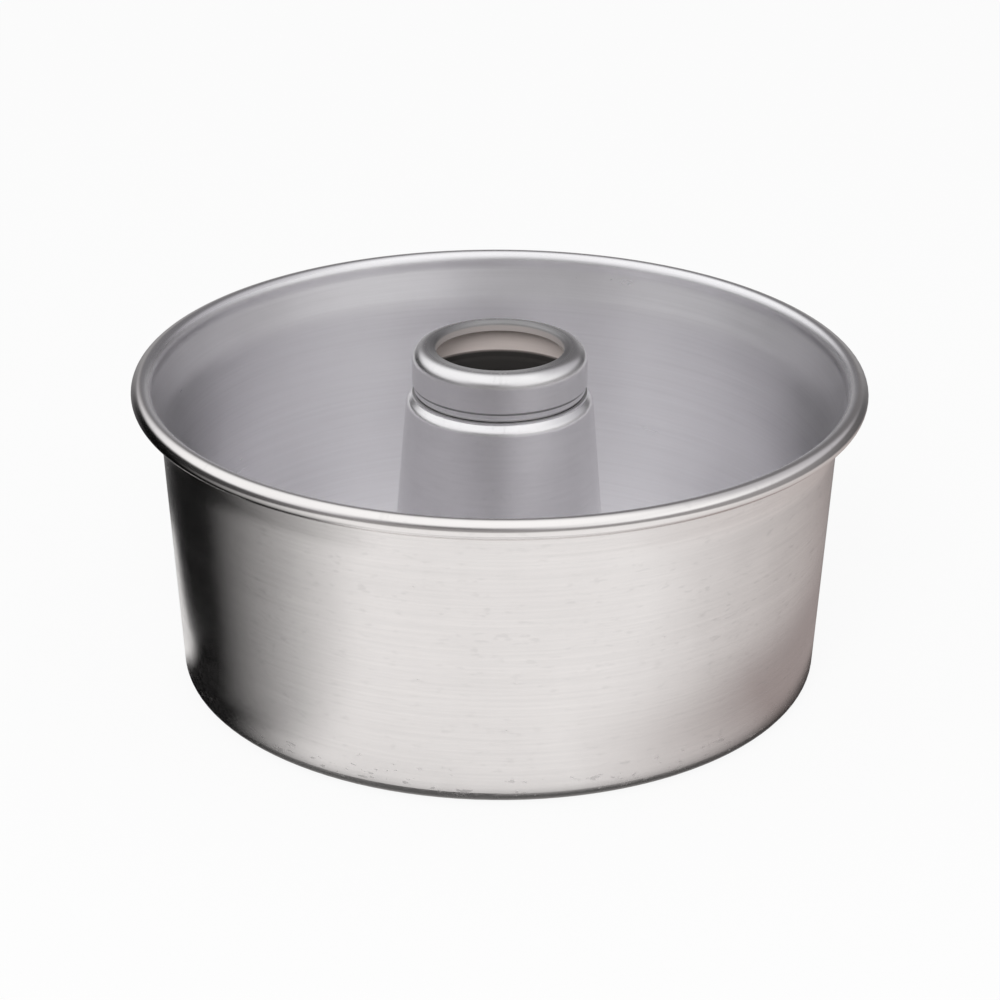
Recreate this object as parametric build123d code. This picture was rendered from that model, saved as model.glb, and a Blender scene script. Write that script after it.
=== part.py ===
from build123d import *
from math import acos, atan2, degrees, hypot, radians, tan
import os

# Angel food cake pan in spun and pressed sheet metal, in millimetres and degrees.
# The z axis is the pan's own axis, and z is zero on the table, under the shell's ledge.
# Each piece is one sheet section turned round that axis.

# Outer shell: overall sizes
RIM_INSIDE_DIAMETER = 255.2
PAN_HEIGHT = 115.1
WALL_TAPER = 3.44
SHELL_SHEET = 1.2

# Outer shell: bottom corner and the ledge that carries the loose core
CORNER_RADIUS = 5.0
LEDGE_WIDTH = 10.0

# Outer shell: hollow rolled bead at the rim and the gentle flare under it
RIM_BEAD_DIAMETER = 7.5
CURL_GAP = 0.5
RIM_FLARE = 4.15
FLARE_HEIGHT = 14.0
FLARE_TO_BEAD_CENTRE = 2.0
FLARE_FOOT_BEND_RADIUS = 25.0
FLARE_HEAD_BEND_RADIUS = 8.0

# Base plate
PLATE_SHEET = 1.2
PLATE_EDGE_CLEARANCE = 0.3
PLATE_MARGIN = 13.0
PLATE_RISE = 3.2
PLATE_RISE_SLOPE = 40.0
PLATE_BEND_RADIUS = 1.5

# Centre tube: cone, shoulder and the short upright lip round its mouth
TUBE_SHEET = 1.0
CONE_TAPER = 4.77
MOUTH_HEIGHT = 107.4
MOUTH_LIP_HEIGHT = 0.8
MOUTH_LIP_FILLET = 0.5
SHOULDER_HEIGHT = 2.4
SHOULDER_SLOPE = 44.0
SHOULDER_RADIUS = 3.5

# Centre tube: flange under the base plate and bead above it
FLANGE_OVERLAP = 4.0
FOOT_BEND_RADIUS = 0.3
PLATE_HOLE_CLEARANCE = 0.1
FOOT_BEAD_HEIGHT = 6.0
FOOT_BEAD_REACH = 3.0
FOOT_BEAD_RADIUS = 2.0
FOOT_BEAD_FILLET = 1.5

# Collar on top of the centre tube: bottle hole, rounded top and neck
COLLAR_SHEET = 1.0
COLLAR_HEIGHT = 17.6
BOTTLE_HOLE_DIAMETER = 47.2
HOLE_LIP_DEPTH = 3.2
HOLE_LIP_RADIUS = 1.2
COLLAR_FLAT_WIDTH = 2.5
COLLAR_TOP_RADIUS = 5.0

# Collar: the ring that steps in under the neck and sits on the mouth, and the skirt inside it
RING_STEP_DEPTH = 0.6
RING_STEP_HEIGHT = 0.8
RING_HEIGHT = 1.6
SEAT_STEP_DEPTH = 0.7
SEAT_STEP_HEIGHT = 1.1
NECK_FOOT_RADIUS = 1.6
RING_FOOT_RADIUS = 1.1
STEP_FILLET = 0.6
SKIRT_LENGTH = 7.0
SKIRT_FLARE_LENGTH = 4.0
SKIRT_FLARE = 1.2
SKIRT_BEND_RADIUS = 3.0

# Clearances between the pieces of the core
MOUTH_CLEARANCE = 0.2
SEAT_GAP = 0.1


def lean(height, angle):
    """How far a face goes sideways over a height, at an angle from upright."""
    return height * tan(radians(angle))


# Outer shell, worked out from the sizes above
bead_radius = RIM_BEAD_DIAMETER / 2
bead_centre_height = PAN_HEIGHT - bead_radius
rim_inside_radius = RIM_INSIDE_DIAMETER / 2
curl_start_radius = rim_inside_radius + SHELL_SHEET
flare_head_height = bead_centre_height - FLARE_TO_BEAD_CENTRE
flare_foot_height = flare_head_height - FLARE_HEIGHT
flare_foot_radius = curl_start_radius - RIM_FLARE
wall_base_radius = flare_foot_radius - lean(flare_foot_height, WALL_TAPER)
corner_setback = CORNER_RADIUS * tan(radians(90 - WALL_TAPER) / 2)
ledge_outer_radius = wall_base_radius - corner_setback
ledge_inner_radius = ledge_outer_radius - LEDGE_WIDTH

# The curl turns until its edge is a small gap away from the flare's outer face
flare_angle = degrees(atan2(RIM_FLARE, FLARE_HEIGHT))
bead_centre_to_flare = (
    (bead_radius - SHELL_SHEET) * FLARE_HEIGHT - FLARE_TO_BEAD_CENTRE * RIM_FLARE
) / hypot(RIM_FLARE, FLARE_HEIGHT)
edge_angle = degrees(acos((CURL_GAP - bead_centre_to_flare) / bead_radius))
curl_turn = 180 + flare_angle + edge_angle

# Collar and the mouth of the cone that holds it
hole_radius = BOTTLE_HOLE_DIAMETER / 2
collar_radius = hole_radius + HOLE_LIP_RADIUS + COLLAR_FLAT_WIDTH + COLLAR_TOP_RADIUS
ring_radius = collar_radius - RING_STEP_DEPTH
skirt_radius = ring_radius - SEAT_STEP_DEPTH
skirt_foot_height = MOUTH_HEIGHT - SKIRT_LENGTH
seat_height = MOUTH_HEIGHT + SEAT_GAP
ring_foot_height = seat_height + SEAT_STEP_HEIGHT
ring_head_height = ring_foot_height + RING_HEIGHT
neck_foot_height = ring_head_height + RING_STEP_HEIGHT
collar_top = MOUTH_HEIGHT + COLLAR_HEIGHT
mouth_lip_radius = skirt_radius + MOUTH_CLEARANCE + TUBE_SHEET
mouth_lip_foot = MOUTH_HEIGHT - MOUTH_LIP_HEIGHT
cone_top_radius = mouth_lip_radius + lean(SHOULDER_HEIGHT, SHOULDER_SLOPE)
cone_top_height = mouth_lip_foot - SHOULDER_HEIGHT

# Base plate and the foot of the tube that is clinched into it
plate_radius = ledge_outer_radius - PLATE_EDGE_CLEARANCE
rise_foot_radius = plate_radius - PLATE_MARGIN
rise_top_radius = rise_foot_radius - PLATE_RISE / tan(radians(PLATE_RISE_SLOPE))
plate_floor_height = SHELL_SHEET + PLATE_RISE
foot_bead_bottom = plate_floor_height + PLATE_SHEET + SEAT_GAP
foot_bead_top = foot_bead_bottom + FOOT_BEAD_HEIGHT
tube_foot_radius = cone_top_radius + lean(cone_top_height - foot_bead_top, CONE_TAPER)
plate_hole_radius = tube_foot_radius + FOOT_BEND_RADIUS + PLATE_HOLE_CLEARANCE
flange_radius = plate_hole_radius + FLANGE_OVERLAP


def sheet_section(path, sheet):
    """Section of a sheet that lies on the left of its outline path."""
    return make_face(offset(path, amount=sheet, side=Side.LEFT, closed=True))


def turned(section):
    """Turn a section, drawn as radius and height, round the pan's axis."""
    return revolve(Plane.XZ * section, axis=Axis.Z)


def rim_curl():
    """Section of the curl that rolls outward over the rim and back under itself."""
    outside = JernArc(
        start=(rim_inside_radius, bead_centre_height),
        tangent=(0, 1),
        radius=bead_radius,
        arc_size=-curl_turn,
    )
    inside = JernArc(
        start=(curl_start_radius, bead_centre_height),
        tangent=(0, 1),
        radius=bead_radius - SHELL_SHEET,
        arc_size=-curl_turn,
    )
    ends = [Line(outside @ end, inside @ end) for end in (0, 1)]
    return make_face([outside, inside] + ends)


def pan_shell():
    """Ledge, corner, tapered wall, flare and the curl at the rim."""
    wall = FilletPolyline(
        (ledge_inner_radius, 0),
        (wall_base_radius, 0),
        (flare_foot_radius, flare_foot_height),
        (curl_start_radius, flare_head_height),
        (curl_start_radius, bead_centre_height),
        radius=[CORNER_RADIUS, FLARE_FOOT_BEND_RADIUS, FLARE_HEAD_BEND_RADIUS],
    )
    return turned(sheet_section(wall, SHELL_SHEET) + rim_curl())


def base_plate():
    """Disc with a flat margin on the ledge, a raised floor and the hole for the tube."""
    underside = FilletPolyline(
        (plate_hole_radius, plate_floor_height),
        (rise_top_radius, plate_floor_height),
        (rise_foot_radius, SHELL_SHEET),
        (plate_radius, SHELL_SHEET),
        radius=[PLATE_BEND_RADIUS, PLATE_BEND_RADIUS + PLATE_SHEET],
    )
    return turned(sheet_section(underside, PLATE_SHEET))


def centre_tube():
    """Flange, foot bead, cone, shoulder and the upright lip round the mouth."""
    outside = FilletPolyline(
        (flange_radius, plate_floor_height),
        (tube_foot_radius, plate_floor_height),
        (tube_foot_radius, foot_bead_bottom),
        (tube_foot_radius + FOOT_BEAD_REACH, (foot_bead_bottom + foot_bead_top) / 2),
        (tube_foot_radius, foot_bead_top),
        (cone_top_radius, cone_top_height),
        (mouth_lip_radius, mouth_lip_foot),
        (mouth_lip_radius, MOUTH_HEIGHT),
        radius=[
            FOOT_BEND_RADIUS,
            FOOT_BEND_RADIUS,
            FOOT_BEAD_RADIUS,
            FOOT_BEAD_FILLET,
            SHOULDER_RADIUS,
            MOUTH_LIP_FILLET,
        ],
    )
    return turned(sheet_section(outside, TUBE_SHEET))


def tube_collar():
    """Flared skirt, ring on the mouth, neck, rounded top and turned-down hole lip."""
    outside = FilletPolyline(
        (skirt_radius + SKIRT_FLARE, skirt_foot_height),
        (skirt_radius, skirt_foot_height + SKIRT_FLARE_LENGTH),
        (skirt_radius, seat_height),
        (ring_radius, ring_foot_height),
        (ring_radius, ring_head_height),
        (collar_radius, neck_foot_height),
        (collar_radius, collar_top),
        (hole_radius, collar_top),
        (hole_radius, collar_top - HOLE_LIP_DEPTH),
        radius=[
            SKIRT_BEND_RADIUS,
            STEP_FILLET,
            RING_FOOT_RADIUS,
            STEP_FILLET,
            NECK_FOOT_RADIUS,
            COLLAR_TOP_RADIUS,
            HOLE_LIP_RADIUS,
        ],
    )
    return turned(sheet_section(outside, COLLAR_SHEET))


pieces = {
    "pan_shell": pan_shell(),
    "base_plate": base_plate(),
    "centre_tube": centre_tube(),
    "tube_collar": tube_collar(),
}

os.makedirs("parts", exist_ok=True)
for name, piece in pieces.items():
    export_step(piece, f"parts/{name}.step")
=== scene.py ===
import math

import bpy
from mathutils import Matrix, Vector


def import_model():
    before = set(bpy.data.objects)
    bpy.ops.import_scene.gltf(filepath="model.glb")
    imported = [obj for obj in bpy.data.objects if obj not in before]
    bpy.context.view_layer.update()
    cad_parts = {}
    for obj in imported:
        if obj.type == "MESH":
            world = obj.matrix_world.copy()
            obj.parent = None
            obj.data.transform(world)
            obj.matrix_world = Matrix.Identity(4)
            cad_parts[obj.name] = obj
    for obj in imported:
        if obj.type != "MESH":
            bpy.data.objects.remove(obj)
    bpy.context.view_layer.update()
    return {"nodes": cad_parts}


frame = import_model()

# Metres throughout. The z axis is the pan's own axis and z is zero on the table.
# Directions are in degrees: a turn goes round the z axis from the camera's side towards the right
# (positive) or the left (negative), and a rise goes up from the table.
# A range of two numbers is where a change begins and where it is complete. In a range of four,
# the last two are the value before the change and after it. Otherwise these are 0 and 1.

# Camera: fitted to the rim, wall, bottom and tube outlines of the photograph
LENS = 113.5
SENSOR = 36.0
CAMERA_DISTANCE = 1.1806
CAMERA_ELEVATION = 24.2
CAMERA_ROLL = 0.27
CAMERA_TARGET = (0.0003, 0.0, 0.063)

WHITE = (1.0, 1.0, 1.0)
BLACK = (0.004, 0.004, 0.004)

# The room that the metal mirrors, low part: white in front, a black flag at the left, tinted to
# the right, grey at the back, and black straight below
LOW_WHITE = (0.875, 0.865, 0.86)
LEFT_FLAG = (-119.5, -50.0)
LEFT_FLAG_END = (-152.0, -180.0, 0.0, 0.48)
RIGHT_FADE = (52.0, 160.0)
RIGHT_TINT = (0.44, 0.385, 0.37)
BACK_LOW_FADE = (160.0, 180.0)
BACK_LOW_GREY = (0.42, 0.415, 0.413)
NADIR_FADE = (-62.0, -78.0)

# The room from there up: a dark horizon, a little lower at the sides, and grey above it
HORIZON_FADE = (-16.0, -4.0)
HORIZON_SIDES = (35.0, 85.0, 0.0, 12.0)
HORIZON_GREY = (0.11, 0.107, 0.11)
LEFT_FLAG_MIDDLE_END = (-132.0, -156.0)
UPPER_FADE = (10.0, 24.0)
UPPER_GREY = (0.50, 0.49, 0.51)

# Cards in that room: a direction (turn and rise), the angles from it where the card begins to
# fade and where it is gone, and its colour
HORIZON_CARD = ((30.0, 8.0), (50.0, 115.0), (0.30, 0.29, 0.29))
HORIZON_BACK_CARD = ((180.0, 4.0), (12.0, 40.0), (0.33, 0.325, 0.33))
LEFT_CARD = ((-105.0, 54.0), (18.0, 68.0), WHITE)
RIGHT_CARD = ((57.0, 28.0), (5.0, 66.0), WHITE)
FRONT_CARD = ((-15.0, 14.0), (8.0, 40.0), (0.15, 0.147, 0.147))
CEILING = ((-15.0, 75.0), (27.0, 50.0), WHITE)
BACK_CARD = ((170.0, 24.0), (14.0, 36.0), (0.17, 0.165, 0.17))

# Lights
WORLD_LEVEL = 0.70
LAMP_SIZE = (0.6, 0.6)
LAMP_POWER = 8.5
LAMP_PLACE = (-0.17, -1.20, 1.00)

# Floor: its size and colour, how far it is plain white to the camera, and how far it glows in the
# metal with its painted colours
FLOOR_HALF = 6.0
FLOOR_LEVEL = -0.0003
FLOOR_COLOUR = (0.86, 0.86, 0.86)
FLOOR_WHITE = 0.9
FLOOR_MIRRORED = 0.85

# Floor: how near the pan the metal still sees it and not the room beyond it. Its left edge runs
# askew, and it reaches further out in the painted bright streak behind the pan's left side.
FLOOR_NEAR = (0.185, 0.150)
FLOOR_LEFT_EDGE = (-0.145, -0.137)
FLOOR_LEFT_SKEW = 0.33
STREAK_SIDE = (-80.0, -90.0)
STREAK_END = (-155.0, -115.0)
STREAK_BACK = (-178.0, -150.0)
STREAK_LENGTH = 0.028

# Floor: its colour in the metal, by the distance from the pan's axis and the turn round it. All of
# it is painted: a contact shadow at the pan's foot, a dark reflection at the left but for a bright
# streak, a warm reflection to the right, and grey under the pan.
FLOOR_PAINTED_SHADOW = (0.1232, 0.1275, 0.10, 1.0)
FLOOR_LEFT_FADE = (-62.0, -32.0)
FLOOR_RIGHT_FADE = (14.0, 64.0)
FLOOR_RIGHT_END = (175.0, 115.0)
FLOOR_RIGHT_TINT = (0.36, 0.31, 0.30)
FLOOR_UNDER_PAN = (0.1195, 0.1150)
FLOOR_UNDER_GREY = (0.46, 0.455, 0.45)

# Noise on the metal. Lines run round the axis: their length in turns, the pitch from one to the
# next, and the noise's detail. Marks lie anywhere: the noise's scale, detail and roughness.
FINE_LINES = (0.45, 0.0011, 1.5)
BROAD_LINES = (0.8, 0.0045, 2.0)
SCUFF_LINES = (0.035, 0.0018, 3.0)
LINES_OVER_RADIUS = 0.6
CLOUD_MARKS = (22.0, 4.0, 0.6)
SMEAR_MARKS = (75.0, 3.0, 0.55)

# Scuffs: where they rise out of their noise, how they get fewer from the foot of the pan upward,
# and their share on the inside of a sheet
SCUFF_RISE = (0.60, 0.70)
WORN_FOOT = (0.002, 0.016, 1.0, 0.25)
SCUFF_INSIDE = 0.2

# How much each of them changes the brightness and the roughness
FINE_TONE = 0.10
BROAD_TONE = 0.05
CLOUD_TONE = 0.08
SCUFF_TONE = -0.12
BROAD_ROUGHNESS = 0.08
SMEAR_ROUGHNESS = 0.06
SCUFF_ROUGHNESS = 0.15

# A face that looks towards the axis is an inside, and one that looks away from it an outside.
# The bump's strength is given for the inside and then the outside.
FACING_OUT = (-0.15, 0.15)
BUMP_STRENGTH = (0.03, 0.2)
BUMP_DEPTH = 0.00002
ANISOTROPY = 0.92
QUARTER_TURN = 0.25

# The bead at the rim is more polished than the wall and the flare under it
BEAD_HEIGHT = (0.1060, 0.1090)
BEAD_FACING = (-0.9, -0.3)
BEAD_POLISH = -0.4

# Inside the tube the sheet is dull and painted dark, painted shade for its unlit inside. Inside
# the
# collar it is dull: above the tube's mouth pale and warm, a painted warm reflection, and below it
# the same painted shade.
PAINTED_SHADE = (0.045, 0.042, 0.04)
PAINTED_WARM_REFLECTION = (0.92, 0.82, 0.78)
PAINTED_REFLECTION_ABOVE = (0.1104, 0.1114)

# The collar's top counts as outside above this height. Its lip round the bottle hole is darker
# and rougher, the more the nearer to the hole: its colour by painted shade, evenly, its roughness
# mostly at the end.
LIP_ABOVE = (0.1236, 0.1246)
LIP_REACH = (0.0296, 0.0254)
LIP_SHADE_SHARE = 0.6
LIP_ROUGHNESS = 0.3
LIP_ROUGHNESS_POWER = 3.0
LIP_SHADE_GREY = (0.20, 0.195, 0.20)

# Painted shade: a dark line round the foot of the collar's neck
CREASE_SHADE_HEIGHT = 0.1108
CREASE_SHADE_FADE = (0.00028, 0.0007, 0.7, 0.0)


class Tree:
    """A node tree, with short calls. Most return a socket; node and mix return the node."""

    def __init__(self, node_tree):
        self.nodes = node_tree.nodes
        self.links = node_tree.links
        self.nodes.clear()

    def put(self, socket, value):
        if isinstance(value, bpy.types.NodeSocket):
            self.links.new(value, socket)
        elif value is not None:
            socket.default_value = value

    def node(self, kind, inputs=(), **settings):
        made = self.nodes.new("ShaderNode" + kind)
        for name, value in settings.items():
            setattr(made, name, value)
        for name, value in dict(inputs).items():
            self.put(made.inputs[name], value)
        return made

    def maths(self, operation, first, second=None, third=None):
        made = self.node("Math", operation=operation)
        for socket, value in zip(made.inputs, (first, second, third)):
            self.put(socket, value)
        return made.outputs[0]

    def off_middle(self, noise, amount, start):
        """Start, raised or lowered by what the noise is off its middle, times the amount."""
        return self.maths("MULTIPLY_ADD", self.maths("SUBTRACT", noise, 0.5), amount, start)

    def vector(self, x, y, z):
        return self.node("CombineXYZ", {"X": x, "Y": y, "Z": z}).outputs[0]

    def split(self, vector):
        return self.node("SeparateXYZ", {"Vector": vector}).outputs

    def turn(self, x, y):
        """The turn of a point or direction, in degrees."""
        ahead = self.maths("MULTIPLY", y, -1.0)
        return self.maths("DEGREES", self.maths("ARCTAN2", x, ahead))

    def noise(self, vector, scale, detail, roughness=0.5):
        inputs = {"Vector": vector, "Scale": scale, "Detail": detail, "Roughness": roughness}
        return self.node("TexNoise", inputs).outputs["Fac"]

    def ramp(self, factor, low, high, start=0.0, end=1.0, smooth=True):
        """Goes from start to end as the factor goes from low to high."""
        made = self.node("MapRange", interpolation_type="SMOOTHSTEP" if smooth else "LINEAR")
        for name, value in (("Value", factor), ("From Min", low), ("From Max", high),
                            ("To Min", start), ("To Max", end)):
            self.put(made.inputs[name], value)
        return made.outputs[0]

    def blend(self, factor, first, second, how="MIX"):
        made = self.node("Mix", data_type="RGBA", blend_type=how)
        self.put(made.inputs[0], factor)
        for socket, value in ((made.inputs[6], first), (made.inputs[7], second)):
            if isinstance(value, tuple):
                value = (*value, 1.0)
            self.put(socket, value)
        return made.outputs[2]

    def mix(self, factor, first, second):
        """A mix of two shader nodes."""
        return self.node("MixShader", {0: factor, 1: first.outputs[0], 2: second.outputs[0]})


class Sheet:
    """Sockets for a place on a piece of sheet, and for the lines and marks that are there."""

    def __init__(self, tree, flat, lip):
        self.tree = tree
        place = tree.node("TexCoord").outputs["Object"]
        x, y, self.height = tree.split(place)
        squares = tree.maths("ADD", tree.maths("MULTIPLY", x, x), tree.maths("MULTIPLY", y, y))
        self.radius = tree.maths("SQRT", squares)
        self.turn_x = tree.maths("DIVIDE", x, self.radius)
        self.turn_y = tree.maths("DIVIDE", y, self.radius)
        self.face(lip)
        self.mark(place, flat)

    def face(self, lip):
        """How far the face looks away from the axis, and how far it is an outside."""
        tree = self.tree
        normal = tree.split(tree.node("TexCoord").outputs["Normal"])
        self.outward = tree.maths("ADD", tree.maths("MULTIPLY", normal[0], self.turn_x),
                                  tree.maths("MULTIPLY", normal[1], self.turn_y))
        self.outer = tree.ramp(self.outward, *FACING_OUT)
        if lip:
            self.outer = tree.maths("MAXIMUM", self.outer, tree.ramp(self.height, *LIP_ABOVE))

    def mark(self, place, flat):
        """Fine and broad spinning lines, cloudy handling marks, smears and a few scuffs."""
        tree = self.tree
        along = self.radius
        if not flat:
            along = tree.maths("MULTIPLY_ADD", self.radius, LINES_OVER_RADIUS, self.height)
        self.fine = self.round_lines(along, *FINE_LINES)
        self.broad = self.round_lines(along, *BROAD_LINES)
        self.cloud = tree.noise(place, *CLOUD_MARKS)
        self.smear = tree.noise(place, *SMEAR_MARKS)
        scuff = tree.ramp(self.round_lines(along, *SCUFF_LINES), *SCUFF_RISE)
        scuff = tree.maths("MULTIPLY", scuff, tree.ramp(self.height, *WORN_FOOT))
        share = tree.maths("MULTIPLY_ADD", self.outer, 1.0 - SCUFF_INSIDE, SCUFF_INSIDE)
        self.scuff = tree.maths("MULTIPLY", scuff, share)

    def round_lines(self, along, length, pitch, detail):
        """Noise drawn out into lines round the axis."""
        tree = self.tree
        vector = tree.vector(
            tree.maths("MULTIPLY", self.turn_x, 1.0 / length),
            tree.maths("MULTIPLY", self.turn_y, 1.0 / length),
            tree.maths("MULTIPLY", along, 1.0 / pitch),
        )
        return tree.noise(vector, 1.0, detail)

    def colour(self, outside, inside):
        """The two sides' colours, made uneven by the lines and marks."""
        tree = self.tree
        tone = tree.off_middle(self.fine, FINE_TONE, 1.0)
        tone = tree.off_middle(self.broad, BROAD_TONE, tone)
        tone = tree.off_middle(self.cloud, CLOUD_TONE, tone)
        tone = tree.maths("MULTIPLY_ADD", self.scuff, SCUFF_TONE, tone)
        shade = tree.vector(tone, tone, tone)
        return tree.blend(1.0, tree.blend(self.outer, inside, outside), shade, "MULTIPLY")

    def roughness(self, outside, inside):
        """The two sides' roughness, made uneven by the lines and marks."""
        tree = self.tree
        rough = self.by_side(inside, outside)
        rough = tree.off_middle(self.broad, BROAD_ROUGHNESS, rough)
        rough = tree.off_middle(self.smear, SMEAR_ROUGHNESS, rough)
        return tree.maths("MULTIPLY_ADD", self.scuff, SCUFF_ROUGHNESS, rough)

    def by_side(self, inside, outside):
        return self.tree.ramp(self.outer, 0.0, 1.0, inside, outside, smooth=False)

    def polished_bead(self, rough):
        """The roughness, lowered on the bead at the rim."""
        tree = self.tree
        bead = tree.maths("MULTIPLY", tree.ramp(self.height, *BEAD_HEIGHT),
                          tree.ramp(self.outward, *BEAD_FACING))
        return tree.maths("MULTIPLY", rough, tree.maths("MULTIPLY_ADD", bead, BEAD_POLISH, 1.0))

    def painted_crease_shade(self, base):
        """The colour, with a painted shade line at the foot of the collar's neck."""
        tree = self.tree
        away = tree.maths("ABSOLUTE", tree.maths("SUBTRACT", self.height, CREASE_SHADE_HEIGHT))
        return tree.blend(tree.ramp(away, *CREASE_SHADE_FADE), base, PAINTED_SHADE)

    def shaded_rough_lip(self, base, rough):
        """The colour darkened by painted shade and the roughness raised on the lip round the
        bottle hole.
        """
        tree = self.tree
        lip = tree.ramp(self.radius, *LIP_REACH, smooth=False)
        # Painted shade: the lip's colour darkens towards the hole
        base = tree.blend(tree.maths("MULTIPLY", lip, LIP_SHADE_SHARE), base, LIP_SHADE_GREY)
        end = tree.maths("POWER", lip, LIP_ROUGHNESS_POWER)
        return base, tree.maths("MULTIPLY_ADD", end, LIP_ROUGHNESS, rough)


def aluminium(slot, colours, roughness, flat=False, bead=False, collar=False):
    """Spun aluminium. Colours and roughness are given for the outside and then the inside."""
    material = bpy.data.materials.new("spun_" + slot)
    material.use_nodes = True
    tree = Tree(material.node_tree)
    sheet = Sheet(tree, flat, lip=collar)
    outside, inside = colours
    metallic = 1.0
    if collar:
        # Inside the collar: a painted warm reflection above the tube's mouth, painted shade below
        # it
        inside = tree.blend(tree.ramp(sheet.height, *PAINTED_REFLECTION_ABOVE), PAINTED_SHADE, inside)
        metallic = sheet.by_side(0.0, 1.0)
    base = sheet.colour(outside, inside)
    rough = sheet.roughness(*roughness)
    if collar:
        # Painted shade: a dark line at the foot of the neck, and a darker lip round the bottle
        # hole
        base, rough = sheet.shaded_rough_lip(sheet.painted_crease_shade(base), rough)
    if bead:
        rough = sheet.polished_bead(rough)

    bump = tree.node("Bump", {"Strength": sheet.by_side(*BUMP_STRENGTH), "Distance": BUMP_DEPTH,
                              "Height": sheet.fine})
    tangent = tree.node("Tangent", direction_type="RADIAL", axis="Z")
    shader = tree.node("BsdfPrincipled", {
        "Base Color": base,
        "Metallic": metallic,
        "Roughness": rough,
        "Anisotropic": ANISOTROPY,
        "Anisotropic Rotation": QUARTER_TURN,
        "Normal": bump.outputs[0],
        "Tangent": tangent.outputs[0],
    })
    tree.node("OutputMaterial", {"Surface": shader.outputs[0]})
    return material


def dress_nodes():
    """Gives each CAD node its finish."""
    shell = (0.915, 0.89, 0.88), (0.94, 0.93, 0.95)
    plate = (0.86, 0.85, 0.87), (0.86, 0.85, 0.87)
    # The tube's inside colour is painted shade
    tube = (0.935, 0.925, 0.94), PAINTED_SHADE
    # The collar's inside colour is a painted warm reflection
    collar = (0.90, 0.89, 0.90), PAINTED_WARM_REFLECTION
    finishes = {
        "pan_shell": aluminium("shell_aluminium", shell, (0.22, 0.30), bead=True),
        "base_plate": aluminium("plate_aluminium", plate, (0.38, 0.38), flat=True),
        "centre_tube": aluminium("tube_aluminium", tube, (0.22, 0.5)),
        "tube_collar": aluminium("collar_aluminium", collar, (0.20, 0.75), collar=True),
    }
    for name, material in finishes.items():
        frame["nodes"][name].material_slots[0].material = material


def link(name, data):
    made = bpy.data.objects.new(name, data)
    bpy.context.scene.collection.objects.link(made)
    return made


def floor():
    """A plain pale floor that keeps the pan's soft shadow. Metal mirrors it close to the pan."""
    half = FLOOR_HALF
    corners = [(-half, -half), (half, -half), (half, half), (-half, half)]
    mesh = bpy.data.meshes.new("floor")
    mesh.from_pydata([(x, y, FLOOR_LEVEL) for x, y in corners], [], [(0, 1, 2, 3)])
    mesh.materials.append(floor_material())
    made = link("floor", mesh)


def floor_material():
    """White to the camera, seen through from below, and in the metal glowing with painted shadow
    and reflections.
    """
    material = bpy.data.materials.new("floor")
    material.use_nodes = True
    tree = Tree(material.node_tree)
    rays = tree.node("LightPath").outputs
    place = tree.node("TexCoord").outputs["Object"]
    x, y, _ = tree.split(place)
    reach = tree.node("VectorMath", {0: place}, operation="LENGTH").outputs["Value"]
    turn = tree.turn(x, y)
    streak = tree.ramp(turn, *STREAK_SIDE)

    colour = floor_mirrored(tree, turn, reach, streak)
    colour = tree.blend(rays["Is Glossy Ray"], WHITE, colour)
    lit = tree.node("BsdfDiffuse", {"Color": tree.blend(1.0, FLOOR_COLOUR, colour, "MULTIPLY")})
    # In the metal the floor glows, mostly unlit, with these painted colours
    plain = tree.node("Emission", {"Color": colour, "Strength": 1.0})
    share = tree.maths("MULTIPLY", rays["Is Camera Ray"], FLOOR_WHITE)
    share = tree.maths("MULTIPLY_ADD", rays["Is Glossy Ray"], FLOOR_MIRRORED, share)

    beyond = tree.maths("SUBTRACT", 1.0, floor_extent(tree, x, y, turn, reach, streak))
    beyond = tree.maths("MULTIPLY", rays["Is Glossy Ray"], beyond)
    below = tree.node("NewGeometry").outputs["Backfacing"]
    clear = tree.node("BsdfTransparent", {"Color": (*WHITE, 1.0)})
    both = tree.mix(tree.maths("MAXIMUM", beyond, below), tree.mix(share, lit, plain), clear)
    tree.node("OutputMaterial", {"Surface": both.outputs[0]})
    return material


def floor_extent(tree, x, y, turn, reach, streak):
    """1 where the metal mirrors the floor itself, and 0 where it mirrors the room beyond it."""
    further = tree.maths("MULTIPLY", streak, tree.ramp(turn, *STREAK_BACK))
    near = tree.ramp(tree.maths("MULTIPLY_ADD", further, -STREAK_LENGTH, reach), *FLOOR_NEAR)
    skewed = tree.maths("MULTIPLY_ADD", y, FLOOR_LEFT_SKEW, x)
    return tree.maths("MULTIPLY", near, tree.ramp(skewed, *FLOOR_LEFT_EDGE))


def floor_mirrored(tree, turn, reach, streak):
    """Painted floor colour in the metal: a shadow at the pan's foot and dark at the left, but for
    the streak.
    """
    # Painted contact shadow at the pan's foot, lifted in the bright streak
    painted_shadow = tree.maths("MAXIMUM", tree.ramp(reach, *FLOOR_PAINTED_SHADOW),
                         tree.maths("MULTIPLY", streak, tree.ramp(turn, *STREAK_END)))
    left = tree.maths("MAXIMUM", tree.ramp(turn, *FLOOR_LEFT_FADE), streak)
    right = tree.maths("MULTIPLY", tree.ramp(turn, *FLOOR_RIGHT_FADE, smooth=False),
                       tree.ramp(turn, *FLOOR_RIGHT_END))
    # Painted warm reflection to the right, painted dark reflection at the left, painted grey under
    # the pan
    mirrored = tree.blend(right, LOW_WHITE, FLOOR_RIGHT_TINT)
    mirrored = tree.blend(tree.maths("MULTIPLY", painted_shadow, left), BLACK, mirrored)
    return tree.blend(tree.ramp(reach, *FLOOR_UNDER_PAN), mirrored, FLOOR_UNDER_GREY)


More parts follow.
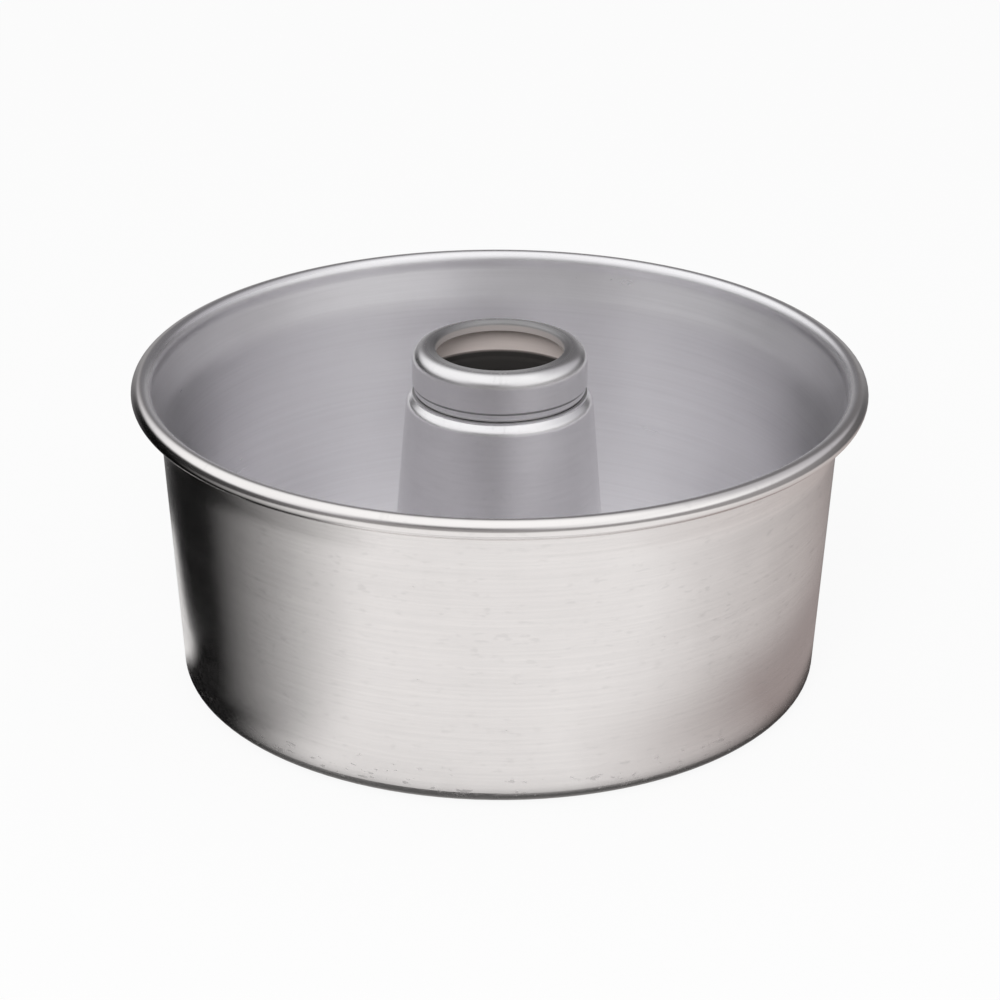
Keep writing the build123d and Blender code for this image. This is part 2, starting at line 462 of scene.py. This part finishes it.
def direction(turn, rise):
    """The unit vector that points that way."""
    turn, rise = math.radians(turn), math.radians(rise)
    level = math.cos(rise)
    return Vector((level * math.sin(turn), -level * math.cos(turn), math.sin(rise)))


def card(tree, ahead, under, centre, edge, colour):
    """Lays one round soft card over what the metal sees in that direction."""
    towards = tree.node("VectorMath", {0: ahead, 1: direction(*centre)}, operation="DOT_PRODUCT")
    away = tree.maths("DEGREES", tree.maths("ARCCOSINE", towards.outputs["Value"]))
    return tree.blend(tree.ramp(away, *edge), colour, under)


def room(tree):
    """What the metal sees around it: a white ceiling and floor, grey walls and dark flags."""
    ahead = tree.node("TexCoord").outputs["Generated"]
    x, y, z = tree.split(ahead)
    turn = tree.turn(x, y)
    rise = tree.maths("DEGREES", tree.maths("ARCSINE", z))
    flag = tree.ramp(turn, *LEFT_FLAG, smooth=False)

    low = tree.blend(tree.ramp(turn, *RIGHT_FADE, smooth=False), LOW_WHITE, RIGHT_TINT)
    low = tree.blend(tree.maths("MAXIMUM", flag, tree.ramp(turn, *LEFT_FLAG_END)), BLACK, low)
    low = tree.blend(tree.ramp(turn, *BACK_LOW_FADE), low, BACK_LOW_GREY)
    low = tree.blend(tree.ramp(rise, *NADIR_FADE), low, BLACK)

    middle = card(tree, ahead, HORIZON_GREY, *HORIZON_CARD)
    left = tree.maths("MAXIMUM", flag, tree.ramp(turn, *LEFT_FLAG_MIDDLE_END))
    middle = card(tree, ahead, tree.blend(left, BLACK, middle), *HORIZON_BACK_CARD)

    upper = UPPER_GREY
    for laid in (LEFT_CARD, RIGHT_CARD, FRONT_CARD, CEILING, BACK_CARD):
        upper = card(tree, ahead, upper, *laid)
    middle = tree.blend(tree.ramp(rise, *UPPER_FADE), middle, upper)

    sides = tree.ramp(tree.maths("ABSOLUTE", turn), *HORIZON_SIDES)
    return tree.blend(tree.ramp(tree.maths("ADD", rise, sides), *HORIZON_FADE), low, middle)


def world():
    """White to the camera, the room in reflections, and a plain level of light on the rest."""
    made = bpy.data.worlds.new("studio")
    bpy.context.scene.world = made
    made.use_nodes = True
    made.cycles.sampling_method = "NONE"
    tree = Tree(made.node_tree)
    rays = tree.node("LightPath").outputs
    light = tree.node("Background", {"Color": (*WHITE, 1.0), "Strength": WORLD_LEVEL})
    white = tree.node("Background", {"Color": (*WHITE, 1.0), "Strength": 1.0})
    mirrored = tree.node("Background", {"Color": room(tree), "Strength": 1.0})
    seen = tree.maths("MAXIMUM", rays["Is Camera Ray"], rays["Is Transmission Ray"])
    both = tree.mix(seen, tree.mix(rays["Is Glossy Ray"], light, mirrored), white)
    tree.node("OutputWorld", {"Surface": both.outputs[0]})


def looking_back(place, away):
    """Where a lamp or camera stands, with its back turned to that direction."""
    return Matrix.Translation(place) @ away.to_track_quat("Z", "Y").to_matrix().to_4x4()


def lamp():
    """One soft lamp above the camera. The metal mirrors the room and not the lamp itself."""
    data = bpy.data.lights.new("lamp", "AREA")
    data.shape = "RECTANGLE"
    data.size, data.size_y = LAMP_SIZE
    data.energy = LAMP_POWER
    made = link("lamp", data)
    place = Vector(LAMP_PLACE)
    made.matrix_world = looking_back(place, place)
    made.visible_glossy = False


def camera():
    data = bpy.data.cameras.new("camera")
    data.lens = LENS
    data.sensor_width = SENSOR
    made = link("camera", data)
    away = direction(0.0, CAMERA_ELEVATION)
    place = Vector(CAMERA_TARGET) + CAMERA_DISTANCE * away
    roll = Matrix.Rotation(math.radians(CAMERA_ROLL), 4, "Z")
    made.matrix_world = looking_back(place, away) @ roll
    bpy.context.scene.camera = made


dress_nodes()
floor()
world()
lamp()
camera()
bpy.context.scene.view_settings.view_transform = "Standard"
